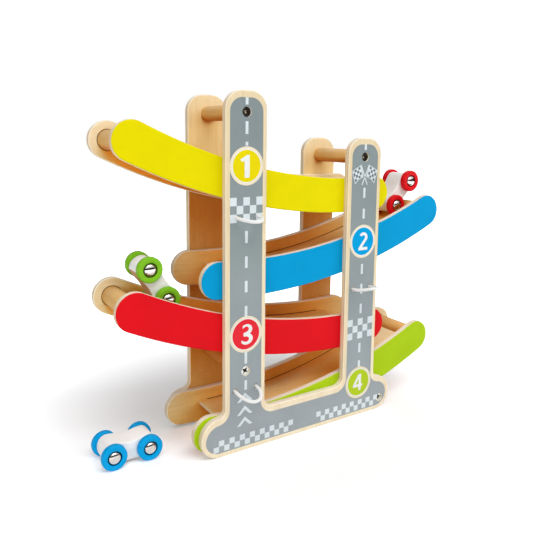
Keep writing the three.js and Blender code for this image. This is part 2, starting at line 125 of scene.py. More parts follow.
# Cars
WHEELBASE = 29.0
WHEEL_RADIUS = 10.14
WHEEL_THICKNESS = 5.1
WHEEL_EDGE_ROUND = 1.0
WHEEL_SIDE_GAP = 0.4
HUB_RECESS_DEPTH = 1.3
HUB_GAP = 0.75
HUB_EDGE = 0.2
RECESS_MARGIN = 0.1
# Painted shade in the hub recess: the wheel's paint darkened by this factor.
RECESS_PAINTED_SHADE = 0.25
CAR_BODY_WIDTH = 19.0
CAR_BODY_HEIGHT = 18.0
CAR_END_REACH = 7.0
CAR_WAIST = 14.8
CAR_EDGE_ROUND = 0.8
PIN_RADIUS = 1.5
PIN_HEAD_RADIUS = 4.95
PIN_HEAD_HEIGHT = 2.6
PIN_BITE = 7.0
RUNNING_GAP = 0.3
WHEEL_PAINTS = {
    "blue_car": (0.0, 0.36, 0.76),
    "green_car": (0.21, 0.52, 0.017),
    "red_car": (0.74, 0.008, 0.014),
}

# Print on the panels
PRINT_INSET = 3.8
PRINT_DROP = 1.5
PRINT_LIFT = 0.03
PRINT_LEVELS = 6
PRINT_BED = PRINT_LIFT * PRINT_LEVELS
DASH_WIDTH = 2.5
DISC_RADIUS = 12.4
RIM_RADIUS = 13.2
RING_RADIUS = 15.0

# Camera, from the photograph's edges: 533 x 533 pixels
IMAGE_SIZE = 533.0
FOCAL_PIXELS = 593.18
PRINCIPAL_POINT = (262.39, 217.55)
CAMERA_PLACE = (-232.975, -392.692, 256.324)
CAMERA_YAW = 0.5623
CAMERA_PITCH = 0.1379
CAMERA_ROLL = 0.0088
SENSOR_WIDTH = 36.0
CLIP_START = 0.01

# Studio, in metres
FLOOR_REACH = 8.0
FLOOR_COLOUR = (0.93, 0.95, 0.965)
FLOOR_SHEEN = 0.1
FLOOR_LIFT = 0.18
FADE_START = 0.1
FADE_END = 0.45
WORLD_STRENGTH = 0.1
BAND_RADIUS = 1.0
BAND_BOTTOM = 0.13
BAND_TOP = 0.5
BAND_COLOUR = (0.02, 0.02, 0.02)
LIGHT_TARGET = (0.0, 0.0, 0.12)
# Softboxes: place, width, height, watts, and whether shiny pieces show it
LIGHTS = {
    "key": ((-0.1, -1.5, 2.5), 2.6, 1.3, 51.0, True),
    "left_fill": ((-2.0, -1.3, 0.9), 1.6, 1.2, 20.0, False),
    "right_fill": ((1.8, -1.5, 1.0), 1.6, 1.2, 20.0, False),
    "back_fill": ((0.5, 2.2, 1.9), 2.0, 1.4, 20.0, False),
}

FRONT_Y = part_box("front_panel")[0].y
TALL_BAR_LOW, TALL_BAR_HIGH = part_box("top_left_crossbar")
BASE_LEFT = -(UPRIGHT_WIDTH / 2 + FOOT_REACH_LEFT)
BASE_RIGHT = UPRIGHT_SPACING + UPRIGHT_WIDTH / 2 + FOOT_REACH_RIGHT
FRAME_ORIGIN = Vector(((TALL_BAR_LOW.x + TALL_BAR_HIGH.x) / 2, FRONT_Y, 0.0))
TO_FRAME = Matrix.Translation(FRAME_ORIGIN) @ Matrix.Scale(MM, 4)

LANE_FRONT = PANEL_THICKNESS + WALL_THICKNESS
LANE_BACK = LANE_FRONT + LANE_WIDTH
BACK_PANEL_Y = LANE_BACK + WALL_THICKNESS
DEPTH = BACK_PANEL_Y + PANEL_THICKNESS
FLOOR_RADIUS = RAMP_RADIUS - WALL_HEIGHT / 2 + FLOOR_DEPTH
QUARTER = math.pi / 2


# Camera

def make_camera():
    sin_yaw, cos_yaw = math.sin(CAMERA_YAW), math.cos(CAMERA_YAW)
    sin_pitch, cos_pitch = math.sin(CAMERA_PITCH), math.cos(CAMERA_PITCH)
    forward = Vector((sin_yaw * cos_pitch, cos_yaw * cos_pitch, -sin_pitch))
    level_right = Vector((cos_yaw, -sin_yaw, 0.0))
    level_down = forward.cross(level_right)
    right = level_right * math.cos(CAMERA_ROLL) - level_down * math.sin(CAMERA_ROLL)
    down = level_right * math.sin(CAMERA_ROLL) + level_down * math.cos(CAMERA_ROLL)
    data = bpy.data.cameras.new("photo_camera")
    data.sensor_width = SENSOR_WIDTH
    data.lens = FOCAL_PIXELS / IMAGE_SIZE * SENSOR_WIDTH
    data.shift_x = (IMAGE_SIZE / 2 - PRINCIPAL_POINT[0]) / IMAGE_SIZE
    data.shift_y = (PRINCIPAL_POINT[1] - IMAGE_SIZE / 2) / IMAGE_SIZE
    data.clip_start = CLIP_START
    camera = bpy.data.objects.new("photo_camera", data)
    turn = Matrix((right, -down, -forward)).transposed().to_4x4()
    camera.matrix_world = Matrix.Translation(TO_FRAME @ Vector(CAMERA_PLACE)) @ turn
    bpy.context.scene.collection.objects.link(camera)
    bpy.context.scene.camera = camera


make_camera()


# Shaders

# The sockets of a colour Mix node
MIX_FACTOR = 0
MIX_FIRST = 6
MIX_SECOND = 7
MIX_RESULT = 2
NOISE_ROUGHNESS = 0.55


class Shader:
    """A node material around one Principled shader, with short ways to add nodes and join them."""

    def __init__(self, name, roughness=0.5, metallic=0.0, colour=None):
        self.material = bpy.data.materials.new(name)
        self.material.use_nodes = True
        self.tree = self.material.node_tree
        self.surface = self.tree.nodes["Principled BSDF"]
        self.surface.inputs["Roughness"].default_value = roughness
        self.surface.inputs["Metallic"].default_value = metallic
        if colour:
            self.surface.inputs["Base Color"].default_value = (*colour, 1.0)

    def add(self, kind, **inputs):
        node = self.tree.nodes.new(kind)
        for name, value in inputs.items():
            node.inputs[name.replace("_", " ")].default_value = value
        return node

    def join(self, output, target):
        self.tree.links.new(output, target)

    def place(self):
        """The piece's own coordinates, in metres."""
        return self.add("ShaderNodeTexCoord").outputs["Object"]

    def part(self, vector, axis):
        node = self.add("ShaderNodeSeparateXYZ")
        self.join(vector, node.inputs["Vector"])
        return node.outputs[axis]

    def noise(self, scale, detail=3.0, stretch=(1.0, 1.0, 1.0)):
        """Noise on the piece's own coordinates, drawn out along an axis by a small stretch there."""
        mapping = self.add("ShaderNodeMapping", Scale=stretch)
        noise = self.add("ShaderNodeTexNoise", Scale=scale, Detail=detail, Roughness=NOISE_ROUGHNESS)
        self.join(self.place(), mapping.inputs["Vector"])
        self.join(mapping.outputs["Vector"], noise.inputs["Vector"])
        return noise.outputs["Fac"]

    def ramp(self, value, stops):
        node = self.add("ShaderNodeValToRGB")
        elements = node.color_ramp.elements
        while len(elements) < len(stops):
            elements.new(0.5)
        for element, (position, colour) in zip(elements, stops):
            element.position = position
            element.color = (*colour, 1.0)
        self.join(value, node.inputs["Fac"])
        return node.outputs["Color"]

    def span(self, value, low, high, start=0.0, end=1.0):
        """A value that runs from start to end, made to run from low to high."""
        node = self.add("ShaderNodeMapRange", From_Min=start, From_Max=end, To_Min=low, To_Max=high)
        self.join(value, node.inputs["Value"])
        return node.outputs["Result"]

    def maths(self, operation, *values):
        """A Math node on sockets and plain numbers."""
        node = self.add("ShaderNodeMath")
        node.operation = operation
        for socket, value in zip(node.inputs, values):
            if isinstance(value, float):
                socket.default_value = value
            else:
                self.join(value, socket)
        return node.outputs["Value"]

    def mixer(self, blend, first):
        node = self.add("ShaderNodeMix")
        node.data_type = "RGBA"
        node.blend_type = blend
        self.join(first, node.inputs[MIX_FIRST])
        return node

    def times(self, first, second):
        """Two tones multiplied."""
        node = self.mixer("MULTIPLY", first)
        node.inputs[MIX_FACTOR].default_value = 1.0
        self.join(second, node.inputs[MIX_SECOND])
        return node.outputs[MIX_RESULT]

    def towards(self, factor, first, colour):
        """A tone drawn towards a plain colour."""
        node = self.mixer("MIX", first)
        self.join(factor, node.inputs[MIX_FACTOR])
        node.inputs[MIX_SECOND].default_value = (*colour, 1.0)
        return node.outputs[MIX_RESULT]

    def shade_by_height(self, stops):
        """Painted light and shade from the ground, at 0, to the track's full height, at 1."""
        height = self.part(self.place(), "Z")
        return self.ramp(self.span(height, 0.0, 1.0, end=LEFT_HEIGHT * MM), stops)

    def bump(self, height, strength, distance):
        node = self.add("ShaderNodeBump", Strength=strength, Distance=distance)
        self.join(height, node.inputs["Height"])
        self.join(node.outputs["Normal"], self.surface.inputs["Normal"])

    def finish(self, colour=None, roughness=None):
        if colour is not None:
            self.join(colour, self.surface.inputs["Base Color"])
        if roughness is not None:
            self.join(roughness, self.surface.inputs["Roughness"])
        return self.material


WHITE = (1.0, 1.0, 1.0)
WOOD_SHEEN = 0.25
WOOD_ROUGHNESS = (0.5, 0.68)
WOOD_BUMP = (0.12, 0.0002)
PAINT_SHEEN = 0.06
PAINT_DRIFT = 0.93
PAINT_SMOOTHER = 0.05
PAINT_ROUGHER = 0.08
COAT_ROUGHNESS = 0.15
PRINT_ROUGHNESS = 0.5
PRINT_GRAIN = 0.14
METAL_HAZE = 0.92
BRAID_SHADE = 0.86
VENEER_WANDER = 0.035
# Painted shade on bare wood: an occlusion test looks towards the key light, and where little of it reaches,
# these stops multiply the wood's colour down to darker, orange-brown tones.
KEY_DIRECTION = (0.0, -0.55, 0.83)
SHADE_REACH = 0.25
PAINTED_SHADE_LANE = [(0.14, (1.0, 0.46, 0.05)), (0.21, (1.0, 0.58, 0.10)), (0.25, (1.0, 0.78, 0.34)),
              (0.29, (1.0, 0.93, 0.6)), (0.38, (1.0, 1.0, 0.86)), (0.46, WHITE)]
PAINTED_SHADE_UPRIGHT = [(0.13, (0.70, 0.31, 0.05)), (0.18, (0.76, 0.39, 0.09)), (0.25, (0.80, 0.47, 0.15)),
                 (0.28, (0.92, 0.75, 0.38)), (0.33, (1.0, 0.90, 0.63)), (0.53, (1.0, 0.90, 0.65)),
                 (0.72, WHITE)]
# Painted light: plywood edges that face up are drawn paler, towards a whitish cream.
UPWARD_PAINTED_LIGHT = 0.6
PAINTED_LIGHT_FROM = 0.3
PAINTED_LIGHT_FULL = 0.9
PAINTED_LIGHT_TONE = (0.93, 0.90, 0.80)
ALONG_X = (0.06, 1.0, 1.0)
ALONG_Y = (1.0, 0.06, 1.0)
ALONG_Z = (1.0, 1.0, 0.06)
NO_GRAIN = (1.0, 1.0, 1.0)


def shade(colour, factor):
    return tuple(c * factor for c in colour)


def bare_wood(name, grain, light, dark, shade_stops=None, height_shade=None):
    """Sanded pale wood: wide soft bands of tone, and fine fibres along the grain.

    The optional shade stops paint shade into the colour: darker, more orange-brown tones where little light
    from the key's direction reaches. The optional height stops paint light and shade from the ground up.
    """
    shader = Shader(name)
    bands = shader.noise(55.0, detail=4.0, stretch=grain)
    streaks = shader.noise(300.0, detail=3.0, stretch=grain)
    fibres = shader.noise(1100.0, detail=2.0, stretch=grain)
    middle = tuple((a + b) / 2 for a, b in zip(light, dark))
    tone = shader.ramp(bands, [(0.32, light), (0.52, middle), (0.72, dark)])
    streak = shader.ramp(streaks, [(0.28, (0.95, 0.92, 0.88)), (0.55, WHITE)])
    fibre = shader.ramp(fibres, [(0.3, (0.95, 0.94, 0.92)), (0.6, WHITE)])
    colour = shader.times(shader.times(tone, streak), fibre)
    if height_shade:
        colour = shader.times(colour, shader.shade_by_height(height_shade))
    # Painted shade: darker, more orange-brown wood where an occlusion test towards the key light finds it
    # blocked.
    if shade_stops:
        key_reach = shader.add("ShaderNodeAmbientOcclusion", Distance=SHADE_REACH)
        key_direction = shader.add("ShaderNodeCombineXYZ", X=KEY_DIRECTION[0], Y=KEY_DIRECTION[1], Z=KEY_DIRECTION[2])
        shader.join(key_direction.outputs["Vector"], key_reach.inputs["Normal"])
        painted_shade = shader.ramp(key_reach.outputs["AO"], shade_stops)
        colour = shader.times(colour, painted_shade)
    shader.bump(fibres, *WOOD_BUMP)
    shader.surface.inputs["Specular IOR Level"].default_value = WOOD_SHEEN
    return shader.finish(colour, shader.span(bands, *WOOD_ROUGHNESS))


def ply_edge(node):
    """Sanded plywood edge: thin veneers side by side across the board, alternately pale and end-grain brown.

    Edges that face up carry painted light: they are drawn paler, towards a whitish cream.
    """
    low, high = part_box(node)
    shader = Shader(node + "_ply")
    across = shader.span(shader.part(shader.place(), "Y"), 0.0, 1.0, low.y, high.y)
    wander = shader.noise(420.0, detail=3.0)
    shift = shader.maths("MULTIPLY_ADD", wander, VENEER_WANDER, across)
    pale = (0.88, 0.74, 0.52)
    cream = (0.93, 0.82, 0.62)
    brown = (0.66, 0.47, 0.27)
    grey = (0.74, 0.58, 0.38)
    veneers = shader.ramp(shift, [
        (0.0, cream), (0.19, cream), (0.22, brown), (0.37, grey), (0.41, pale), (0.61, pale), (0.65, grey),
        (0.80, brown), (0.84, cream), (1.0, cream),
    ])
    # Painted light on edges that face up.
    facing = shader.add("ShaderNodeNewGeometry")
    upward = shader.part(facing.outputs["Normal"], "Z")
    painted_light = shader.span(upward, 0.0, UPWARD_PAINTED_LIGHT, PAINTED_LIGHT_FROM, PAINTED_LIGHT_FULL)
    veneers = shader.towards(painted_light, veneers, PAINTED_LIGHT_TONE)
    specks = shader.noise(1400.0, detail=2.0)
    speckle = shader.ramp(specks, [(0.35, (0.93, 0.90, 0.86)), (0.6, WHITE)])
    shader.bump(wander, *WOOD_BUMP)
    shader.surface.inputs["Specular IOR Level"].default_value = WOOD_SHEEN
    return shader.finish(shader.times(veneers, speckle), shader.span(wander, *WOOD_ROUGHNESS))


def paint(name, colour, roughness, grain=ALONG_X, grain_depth=0.04, coat=0.0, height_shade=None):
    """Even paint on wood: the grain lifts the film a little, and the tone drifts slightly.

    The optional height stops paint light and shade into the colour, from the ground to the track's full
    height.
    """
    shader = Shader(name)
    drift = shader.noise(28.0, detail=3.0)
    fibres = shader.noise(900.0, detail=2.0, stretch=grain)
    tone = shader.ramp(drift, [(0.35, shade(colour, PAINT_DRIFT)), (0.65, colour)])
    # Painted light and shade by height.
    if height_shade:
        tone = shader.times(tone, shader.shade_by_height(height_shade))
    fine = shader.ramp(fibres, [(0.3, (0.985, 0.985, 0.985)), (0.6, WHITE)])
    shader.bump(fibres, grain_depth, 0.0001)
    shader.surface.inputs["Specular IOR Level"].default_value = PAINT_SHEEN
    shader.surface.inputs["Coat Weight"].default_value = coat
    shader.surface.inputs["Coat Roughness"].default_value = COAT_ROUGHNESS
    gloss = shader.span(fibres, roughness - PAINT_SMOOTHER, roughness + PAINT_ROUGHER)
    return shader.finish(shader.times(tone, fine), gloss)


def ink(name, colour, height_shade=None):
    """Matt print on an upright panel's veneer."""
    return paint(name, colour, PRINT_ROUGHNESS, ALONG_Z, PRINT_GRAIN, height_shade=height_shade)


def metal(name, colour, roughness, scratch=0.05):
    """Bright metal with faint turning marks and handling haze."""
    shader = Shader(name, metallic=1.0)
    haze = shader.noise(700.0, detail=3.0)
    tone = shader.ramp(haze, [(0.3, shade(colour, METAL_HAZE)), (0.7, colour)])
    shader.bump(haze, scratch, 0.00005)
    return shader.finish(tone, shader.span(haze, roughness * 0.7, roughness * 1.5))


def braid(name, colour):
    """Round braided cord: crossing strands as fine waves."""
    shader = Shader(name, roughness=0.75)
    waves = []
    for direction in ("DIAGONAL", "X"):
        wave = shader.add("ShaderNodeTexWave", Scale=420.0, Distortion=1.5)
        wave.bands_direction = direction
        shader.join(shader.place(), wave.inputs["Vector"])
        waves.append(wave.outputs["Fac"])
    strands = shader.maths("MAXIMUM", *waves)
    tone = shader.ramp(strands, [(0.2, shade(colour, BRAID_SHADE)), (0.8, colour)])
    shader.bump(strands, 0.35, 0.0002)
    return shader.finish(tone)


VENEER_LIGHT = (0.89, 0.78, 0.58)
VENEER_DARK = (0.83, 0.69, 0.48)
# Painted light and shade: the veneer is drawn whiter near the ground and darker and yellower towards the top.
VENEER_SHADE_BY_HEIGHT = [(0.1, WHITE), (0.38, (0.955, 0.955, 0.91)), (0.62, (0.915, 0.88, 0.77)),
                  (0.85, (0.88, 0.845, 0.75))]
INSIDE_LIGHT = (0.90, 0.74, 0.47)
INSIDE_DARK = (0.84, 0.65, 0.37)
ROAD_GREY = (0.342, 0.377, 0.395)
# Painted light and shade: the road print is drawn lighter near the ground and darker towards the top.
ROAD_SHADE_BY_HEIGHT = [(0.07, WHITE), (0.24, (0.933, 0.96, 0.95)), (0.41, (0.888, 0.914, 0.898)),
                (0.54, (0.842, 0.888, 0.856)), (0.67, (0.76, 0.81, 0.785)), (0.93, (0.683, 0.735, 0.715))]
FLAG_GREY = (0.16, 0.19, 0.2)
PRINT_WHITE = (0.69, 0.75, 0.775)
NUMERAL_WHITE = (0.81, 0.82, 0.80)
CAR_WHITE = (0.98, 0.97, 0.95)

VENEER_UP = bare_wood("veneer_upright", ALONG_Z, VENEER_LIGHT, VENEER_DARK, height_shade=VENEER_SHADE_BY_HEIGHT)
RING_WOOD = bare_wood("ring_veneer", ALONG_Z, (0.83, 0.74, 0.57), (0.79, 0.69, 0.52))
INSIDE_UP = bare_wood("inside_veneer_upright", ALONG_Z, INSIDE_LIGHT, INSIDE_DARK, PAINTED_SHADE_UPRIGHT)
INSIDE_ALONG = bare_wood("inside_veneer_ramp", ALONG_X, INSIDE_LIGHT, INSIDE_DARK, PAINTED_SHADE_LANE)
FLOOR_WOOD = bare_wood("floor_veneer", ALONG_X, (0.93, 0.78, 0.54), (0.87, 0.70, 0.43), PAINTED_SHADE_LANE)
FLOOR_END = bare_wood("floor_end", ALONG_Y, (0.88, 0.74, 0.52), (0.80, 0.64, 0.42))
DOWEL_WOOD = bare_wood("dowel_beech", ALONG_Y, (0.82, 0.55, 0.26), (0.72, 0.45, 0.19), PAINTED_SHADE_UPRIGHT)
CAR_WOOD = bare_wood("car_underside", ALONG_X, (0.66, 0.43, 0.25), (0.52, 0.31, 0.16))
# Painted shadow for the dark sheets in the lanes' creases and round the end dowels.
JOINT_SHADOW = bare_wood("painted_joint_shadow", ALONG_X, (0.16, 0.08, 0.03), (0.10, 0.05, 0.02))
ROAD = ink("road_print", ROAD_GREY, ROAD_SHADE_BY_HEIGHT)
WHITE_PRINT = ink("white_print", PRINT_WHITE)
NUMERAL_PRINT = ink("numeral_print", NUMERAL_WHITE)
DARK_PRINT = ink("dark_print", FLAG_GREY)
CAR_PAINT = paint("car_white", CAR_WHITE, 0.38, ALONG_X, 0.06, coat=0.05)
CHROME = metal("pin_chrome", (0.68, 0.64, 0.61), 0.07)
# The floors of the screws' cut crosses are painted: a bronze glint in the dark top screws, near-black shade
# in the bright low screws.
DARK_STEEL = metal("dark_screw_steel", (0.05, 0.045, 0.04), 0.35, 0.15)
CROSS_PAINTED_GLINT = metal("dark_screw_cross_glint", (0.42, 0.33, 0.22), 0.3, 0.2)
BRIGHT_STEEL = metal("bright_screw_steel", (0.86, 0.84, 0.78), 0.4, 0.15)
CROSS_PAINTED_SHADE = metal("bright_screw_cross_shade", (0.02, 0.02, 0.02), 0.4, 0.2)
CORD = braid("white_braid", (0.86, 0.86, 0.85))
RAMP_PAINTS = {name: paint(name + "_ramp_paint", colour, 0.42) for name, colour in WALL_PAINTS.items()}
DISC_PRINTS = {name: ink(name + "_disc_print", colour) for name, colour in DISC_INKS.items()}


# Mesh making

# How squarely a face has to look along an axis to take that side's material
FLAT = 0.98
SQUARE_ON = 0.9
BOARD_END = 0.8
OVER_EDGE = 0.4
SHARP_ANGLE = math.radians(50)


def arc(x, z, radius, start, end, steps):
    turns = [start + (end - start) * i / steps for i in range(steps + 1)]
    return [(x + radius * math.cos(turn), z + radius * math.sin(turn)) for turn in turns]


def circle(x, z, radius, steps=48):
    return arc(x, z, radius, 0.0, 2 * math.pi, steps)[:-1]


def without_doubles(points):
    return [p for i, p in enumerate(points) if math.dist(p, points[(i + 1) % len(points)]) > 1e-3]


def show(name, mesh, materials, body, node=None):
    """Puts a finished mesh in the scene, on its body and in place of its solid."""
    for material in materials:
        mesh.materials.append(material)
    piece = bpy.data.objects.new(name, mesh)
    bpy.context.scene.collection.objects.link(piece)
    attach(piece, body)
    if node:
        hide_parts(node)
    return piece


def flat_shape(rings, depth=0.0, edge_round=0.0):
    """A filled outline with its holes, in X and Z, from y = 0 to y = depth, with rounded edges."""
    data = bpy.data.curves.new("outline", "CURVE")
    data.dimensions = "2D"
    data.fill_mode = "BOTH"
    data.extrude = depth / 2 - edge_round
    data.bevel_depth = edge_round
    data.bevel_resolution = 3
    data.offset = -edge_round
    for ring in rings:
        spline = data.splines.new("POLY")
        spline.points.add(len(ring) - 1)
        for point, (x, z) in zip(spline.points, ring):
            point.co = (x, z, 0.0, 1.0)
        spline.use_cyclic_u = True
    holder = bpy.data.objects.new("outline", data)
    bpy.context.scene.collection.objects.link(holder)
    graph = bpy.context.evaluated_depsgraph_get()
    mesh = bpy.data.meshes.new_from_object(holder.evaluated_get(graph))
    bpy.data.objects.remove(holder)
    bpy.data.curves.remove(data)
    work = bmesh.new()
    work.from_mesh(mesh)
    bmesh.ops.remove_doubles(work, verts=work.verts, dist=1e-4)
    bmesh.ops.recalc_face_normals(work, faces=work.faces)
    work.to_mesh(mesh)
    work.free()
    mesh.materials.clear()
    mesh.transform(Matrix.Translation((0.0, depth / 2, 0.0)) @ Matrix.Rotation(QUARTER, 4, "X"))
    return mesh


def paint_faces(mesh, choose):
    """Gives each face the material slot that choose(normal) names, and smooths the shading."""
    for face in mesh.polygons:
        face.material_index = choose(face.normal)
        face.use_smooth = True


def soften(piece):
    """Flat faces stay flat and rounded edges shade smoothly."""
    piece.modifiers.new("face_weighted_normals", "WEIGHTED_NORMAL").weight = 100
    return piece


def board(node, rings, near_y, thickness, materials, edge_round=EDGE_ROUND, wraps=(FLAT, FLAT)):
    """A plywood board of the track: materials are those of its near face, its far face and its edges.

    wraps says how far the near and the far face's material goes round the edges.
    """
    mesh = flat_shape(rings, thickness, edge_round)
    near, far = wraps
    paint_faces(mesh, lambda normal: 0 if normal.y < -near else 1 if normal.y > far else 2)
    mesh.transform(TO_FRAME @ Matrix.Translation((0.0, near_y, 0.0)))
    return soften(show("finished_" + node, mesh, materials, "track", node))


def lathe(profile, sides):
    """A turned mesh round the Y axis; the profile's points are (radius, y)."""
    work = bmesh.new()
    turns = [2 * math.pi * i / sides for i in range(sides)]
    rings = []
    for radius, y in profile:
        if radius < 1e-6:
            rings.append([work.verts.new((0.0, y, 0.0))])
            continue
        rings.append([work.verts.new((radius * math.sin(t), y, radius * math.cos(t))) for t in turns])
    for low, high in zip(rings, rings[1:]):
        for i in range(sides):
            below = [low[i % len(low)], low[(i + 1) % len(low)]]
            above = [high[(i + 1) % len(high)], high[i % len(high)]]
            corners = list(dict.fromkeys(below + above))
            if len(corners) > 2:
                work.faces.new(corners)
    bmesh.ops.remove_doubles(work, verts=work.verts, dist=1e-5)
    bmesh.ops.recalc_face_normals(work, faces=work.faces)
    mesh = bpy.data.meshes.new("turned")
    work.to_mesh(mesh)
    work.free()
    for face in mesh.polygons:
        face.use_smooth = True
    mesh.set_sharp_from_angle(angle=SHARP_ANGLE)
    return mesh


# Panels

def shoulder_place(reach):
    """The fillet between a foot's round end and its upright: its lean and its middle's height."""
    span = FOOT_RADIUS + SHOULDER_FILLET
    lean = math.asin((reach - span) / span)
    return lean, FOOT_RADIUS + span * math.cos(lean)


def panel_outline(inset=0.0):
    """The panel's outline, or the same outline drawn in by an inset."""
    half = UPRIGHT_WIDTH / 2
    foot = FOOT_RADIUS - inset
    shoulder = SHOULDER_FILLET + inset
    left_lean, left_z = shoulder_place(FOOT_REACH_LEFT)
    right_lean, right_z = shoulder_place(FOOT_REACH_RIGHT)
    inner = INNER_FILLET + inset
    inner_z = BASE_HEIGHT + INNER_FILLET

    def top(x, height):
        corner = TOP_CORNER_RADIUS - inset
        side = half - TOP_CORNER_RADIUS
        z = height - TOP_CORNER_RADIUS
        return arc(x - side, z, corner, 2 * QUARTER, QUARTER, 16) + arc(x + side, z, corner, QUARTER, 0.0, 16)

    points = arc(BASE_LEFT + FOOT_RADIUS, FOOT_RADIUS, foot, -QUARTER, -3 * QUARTER - left_lean, 28)
    points += arc(-half - SHOULDER_FILLET, left_z, shoulder, -QUARTER - left_lean, 0.0, 10)
    points += top(0.0, LEFT_HEIGHT)
    points += arc(half + INNER_FILLET, inner_z, inner, 2 * QUARTER, 3 * QUARTER, 12)
    points += arc(UPRIGHT_SPACING - half - INNER_FILLET, inner_z, inner, 3 * QUARTER, 4 * QUARTER, 12)
    points += top(UPRIGHT_SPACING, RIGHT_HEIGHT)
    right_x = UPRIGHT_SPACING + half + SHOULDER_FILLET
    points += arc(right_x, right_z, shoulder, 2 * QUARTER, 3 * QUARTER + right_lean, 10)
    points += arc(BASE_RIGHT - FOOT_RADIUS, FOOT_RADIUS, foot, QUARTER + right_lean, -QUARTER, 28)
    return without_doubles(points)


def road_outline():
    """The print's outline: inside the panel's, and a little low on it except along the ground."""
    points = panel_outline(PRINT_INSET)
    return [(x, z - PRINT_DROP * min(1.0, (z - PRINT_INSET) / FOOT_RADIUS)) for x, z in points]


def node_middle(node):
    """The middle of a node's box, in millimetres in this script's frame."""
    low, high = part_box(node)
    return TO_FRAME.inverted() @ ((low + high) / 2)


CROSSBARS = ["top_left_crossbar", "top_right_crossbar", "low_left_crossbar", "low_right_crossbar"]


def screw_holes():
    places = [node_middle(name) for name in CROSSBARS]
    return [circle(place.x, place.z, SCREW_HOLE_RADIUS) for place in places]


def tie_holes():
    half = TIE_HOLE_SPACING / 2
    places = [(tie["x"] + side * half, tie["z"]) for tie in TIES.values() for side in (-1, 1)]
    return [circle(x, z, TIE_HOLE_RADIUS, 24) for x, z in places]


def make_panels():
    for node, near_y, holes, faces in (
        ("front_panel", PRINT_BED, screw_holes() + tie_holes(), [VENEER_UP, INSIDE_UP]),
        ("back_panel", BACK_PANEL_Y, screw_holes(), [INSIDE_UP, VENEER_UP]),
    ):
        board(node, [panel_outline()] + holes, near_y, PANEL_THICKNESS - PRINT_BED, faces + [ply_edge(node)])


make_panels()


# Ramps

def band_outline(ramp, inner, outer, low_angle, high_angle, round_ends):
    x, z = ramp["low"][0], ramp["low"][1] + RAMP_RADIUS
    side = ramp["high"]
    start = -QUARTER + side * low_angle
    end = -QUARTER + side * high_angle
    middle = (inner + outer) / 2
    cap = (outer - inner) / 2

    def round_end(angle, first):
        end_x = x + middle * math.cos(angle)
        end_z = z + middle * math.sin(angle)
        return arc(end_x, end_z, cap, first, first + side * math.pi, 28)

    points = arc(x, z, outer, start, end, 48)
    points += round_end(end, end) if round_ends else []
    points += arc(x, z, inner, end, start, 48)
    points += round_end(start, start + math.pi) if round_ends else []
    return without_doubles(points)


def ramp_angle(reach):
    return math.asin(reach / RAMP_RADIUS)


def make_shadow_lines(node, rings, x=0.0, z=0.0):
    """Painted shadow: thin dark sheets along the creases where a piece goes into the two walls of its lane.
    """
    for side, y in (("front", LANE_FRONT), ("back", LANE_BACK)):
        line = flat_shape(rings, SHADOW_SHEET)
        line.transform(TO_FRAME @ Matrix.Translation((x, y - SHADOW_SHEET / 2, z)))
        show(f"{node}_{side}_seam", line, [JOINT_SHADOW], "track")


def make_ramp(name, ramp):
    half = WALL_HEIGHT / 2
    low_reach = RAMP_SPAN - ramp["reach"]
    low_angle = ramp_angle(half - low_reach)
    high_angle = ramp_angle(ramp["reach"] - half)
    wall = band_outline(ramp, RAMP_RADIUS - half, RAMP_RADIUS + half, low_angle, high_angle, True)
    for side, near_y in (("front", PANEL_THICKNESS), ("back", LANE_BACK)):
        node = f"{name}_{side}_wall"
        faces = [RAMP_PAINTS[name], INSIDE_ALONG]
        wraps = (OVER_EDGE, FLAT)
        if side == "back":
            faces.reverse()
            wraps = (FLAT, OVER_EDGE)
        board(node, [wall], near_y, WALL_THICKNESS, faces + [ply_edge(node)], wraps=wraps)

    node = name + "_floor"
    floor_high = high_angle - (END_DOWEL_DIAMETER / 2 + END_DOWEL_GAP) / FLOOR_RADIUS
    floor = band_outline(ramp, FLOOR_RADIUS, FLOOR_RADIUS + FLOOR_THICKNESS,
                         ramp_angle(FLOOR_SETBACK - low_reach), floor_high, False)
    piece = board(node, [floor], LANE_FRONT - GROOVE_DEPTH, LANE_WIDTH + 2 * GROOVE_DEPTH,
                  [FLOOR_END, FLOOR_END, FLOOR_WOOD], FLOOR_EDGE_ROUND)
    for face in piece.data.polygons:
        if abs(face.normal.x) > BOARD_END:
            face.material_index = 0
    # Painted shadow along the creases between the floor and its walls.
    shadow_line = band_outline(ramp, FLOOR_RADIUS - CREASE_SHADOW_WIDTH, FLOOR_RADIUS + SHADOW_OVERLAP,
                        ramp_angle(CREASE_SHADOW_SETBACK - low_reach), floor_high, False)
    make_shadow_lines(node, [shadow_line])


for ramp_name, ramp_sizes in RAMPS.items():
    make_ramp(ramp_name, ramp_sizes)


# Dowels and screws

def make_round_bar(node):
    """A dowel with slightly eased ends, as long and as thick as its solid."""
    low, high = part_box(node)
    length = (high.y - low.y) / MM
    radius = (high.z - low.z) / MM / 2
    middle = node_middle(node)
    half = length / 2
    edge = DOWEL_EDGE
    mesh = lathe([(0, -half), (radius - edge, -half), (radius, edge - half), (radius, half - edge),
                  (radius - edge, half), (0, half)], 48)
    mesh.transform(TO_FRAME @ Matrix.Translation(middle))
    show("finished_" + node, mesh, [DOWEL_WOOD], "track", node)


# Painted shadow rings where an end dowel goes into its walls.
def make_dowel_shadow_rings(node):
    middle = node_middle(node)
    radius = END_DOWEL_DIAMETER / 2
    rings = [circle(0.0, 0.0, radius + DOWEL_SHADOW_WIDTH), circle(0.0, 0.0, radius - SHADOW_OVERLAP)]
    make_shadow_lines(node, rings, middle.x, middle.z)


for bar_name in CROSSBARS:
    make_round_bar(bar_name)

for ramp_name in RAMPS:
    make_round_bar(ramp_name + "_end_dowel")
    make_dowel_shadow_rings(ramp_name + "_end_dowel")

